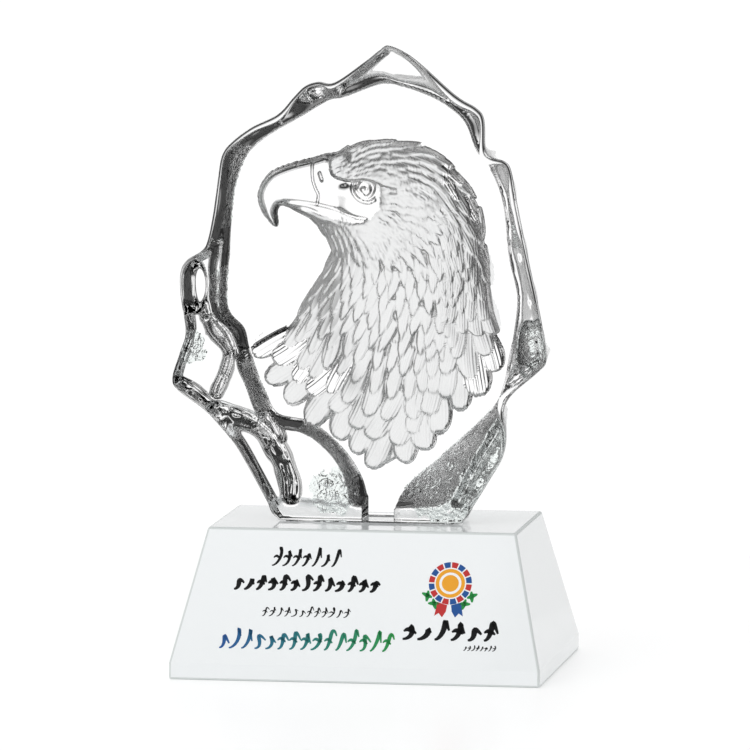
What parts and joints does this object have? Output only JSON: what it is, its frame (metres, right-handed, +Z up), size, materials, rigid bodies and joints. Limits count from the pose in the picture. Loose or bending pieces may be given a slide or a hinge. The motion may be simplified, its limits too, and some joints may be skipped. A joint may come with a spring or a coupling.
{
  "type": "glass eagle sculpture on a base",
  "caption": "Upright slab of clear cast crystal, outlined like a block of ice, with an eagle's head pressed into its back, standing on a white glass block that is wider below.",
  "frame": {"origin": "centre of the base's flat underside, the mount underside", "axes": "+Z up, +Y from the polished front towards the back with the pressed relief, +X to the right of someone who looks at the front"},
  "size_m": [0.119, 0.0844, 0.1913],
  "materials": {
    "crystal": "clear cast crystal, fire polished, with the plumage frosted and the chipped edge pitted in places",
    "base": "opaque white glass, polished, with ground edges"
  },
  "bodies": {
    "root": {"crystal": "crystal", "base": "base"}
  },
  "joints": []
}
